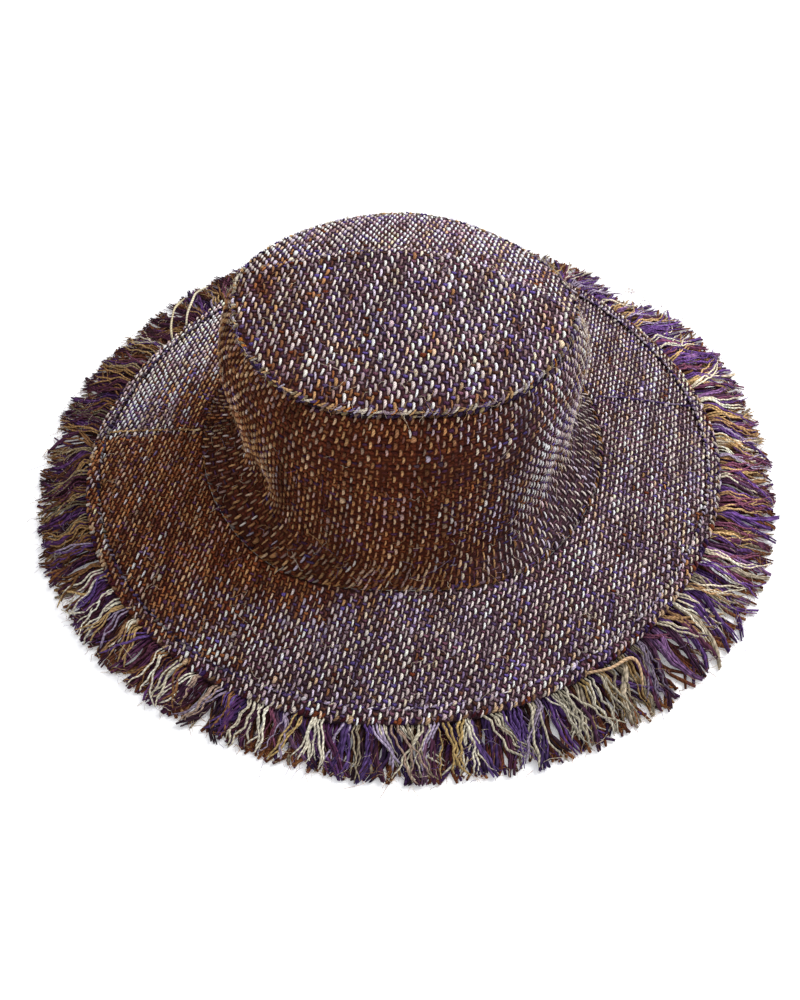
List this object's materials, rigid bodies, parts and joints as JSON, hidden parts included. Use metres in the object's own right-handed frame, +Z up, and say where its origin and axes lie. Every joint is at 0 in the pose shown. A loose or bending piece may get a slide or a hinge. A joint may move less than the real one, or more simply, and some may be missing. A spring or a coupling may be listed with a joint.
{
  "type": "hemp sun hat",
  "caption": "Soft handwoven sun hat with a round crown, a wide drooping brim and a frayed yarn fringe all round.",
  "frame": {"origin": "middle of the hat's outline, on the surface that it lies on", "axes": "+Z up through the crown, -Y towards the front of the brim, +X towards the wearer's left"},
  "size_m": [0.414, 0.414, 0.1183],
  "materials": {
    "crown_cloth": "hand-loomed hemp, cream warp floats on dark violet weft",
    "band_cloth": "hand-loomed hemp, tan and gold warp floats on maroon-brown weft",
    "brim_cloth": "hand-loomed hemp, cream and tan warp floats on dark violet weft",
    "edge_yarn": "hemp strip with a raised row of stitches",
    "fringe_yarn": "loose twisted hemp yarns, violet, cream, gold and rust"
  },
  "bodies": {
    "root": {"crown_tip": "crown_cloth", "crown_band": "band_cloth", "brim_front": "brim_cloth", "brim_back": "brim_cloth", "edge_band": "edge_yarn", "fringe": "fringe_yarn"}
  },
  "joints": []
}
